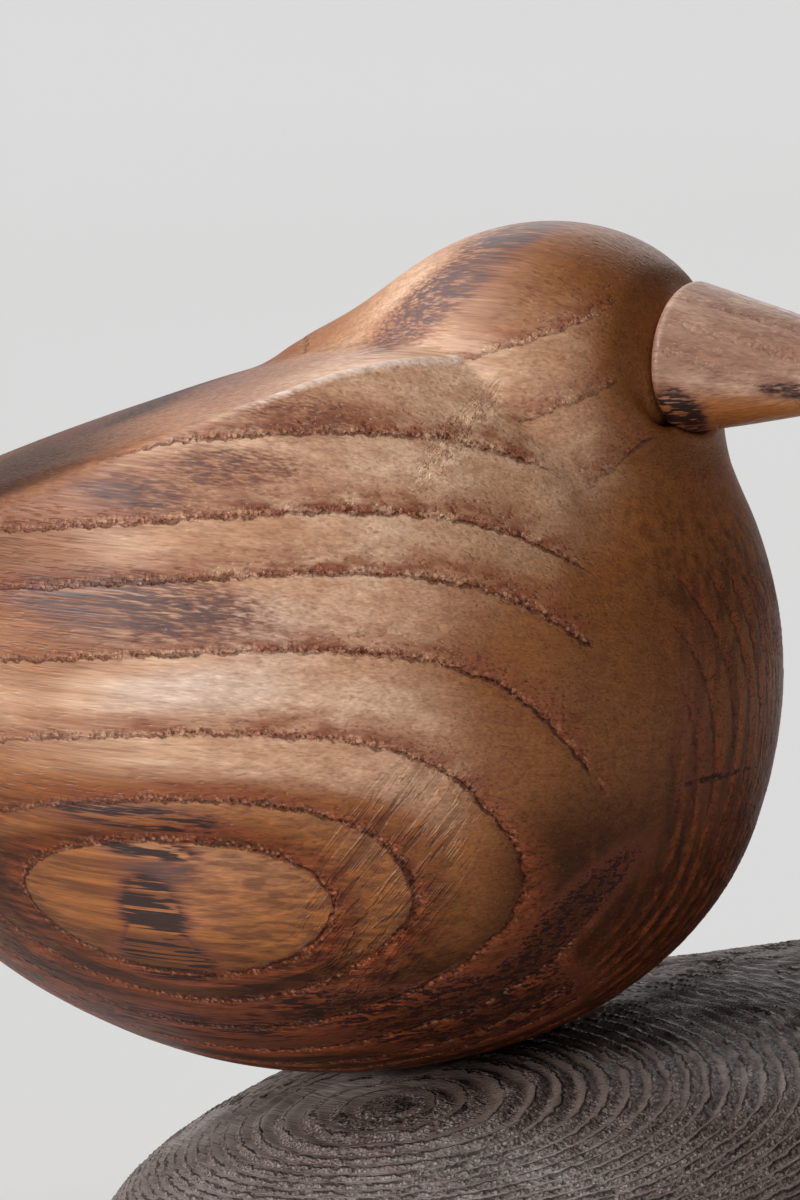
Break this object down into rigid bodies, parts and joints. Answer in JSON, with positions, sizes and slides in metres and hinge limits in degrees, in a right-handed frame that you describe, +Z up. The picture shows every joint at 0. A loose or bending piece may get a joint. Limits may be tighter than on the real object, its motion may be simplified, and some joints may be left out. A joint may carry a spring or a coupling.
{
  "type": "bird ornament",
  "caption": "Carved wooden bird with a turned cone beak, resting on a grey wooden pebble; it turns on a hidden pin and lifts off.",
  "frame": {"origin": "middle of the pebble's flat foot, on the surface that the ornament stands on", "axes": "+Z up, +X the way the beak points, with the bird's middle plane parallel to XZ"},
  "size_m": [0.2106, 0.1346, 0.1354],
  "materials": {
    "scorched_pine": "oiled satin, brushed and scorched grain",
    "beak_pine": "oiled satin, scorched at the rim",
    "beech": "bare",
    "grey_pine": "grey stained, brushed grain",
    "brass": "drawn rod"
  },
  "bodies": {
    "stand": {"pebble_stand": "grey_pine"},
    "pin": {"perch_pin": "brass"},
    "bird": {"bird_body": "scorched_pine", "beak": "beak_pine", "beak_dowel": "beech"}
  },
  "joints": [
    {"name": "bird_turn", "type": "hinge", "parent": "stand", "child": "pin", "pos_m": [-0.00251, -0.02457, 0.03822], "axis": [-0.2371, -0.1924, 0.9523], "continuous": true},
    {"name": "bird_lift", "type": "slide", "parent": "pin", "child": "bird", "axis": [-0.2371, -0.1924, 0.9523], "range_m": [0, 0.035]}
  ]
}
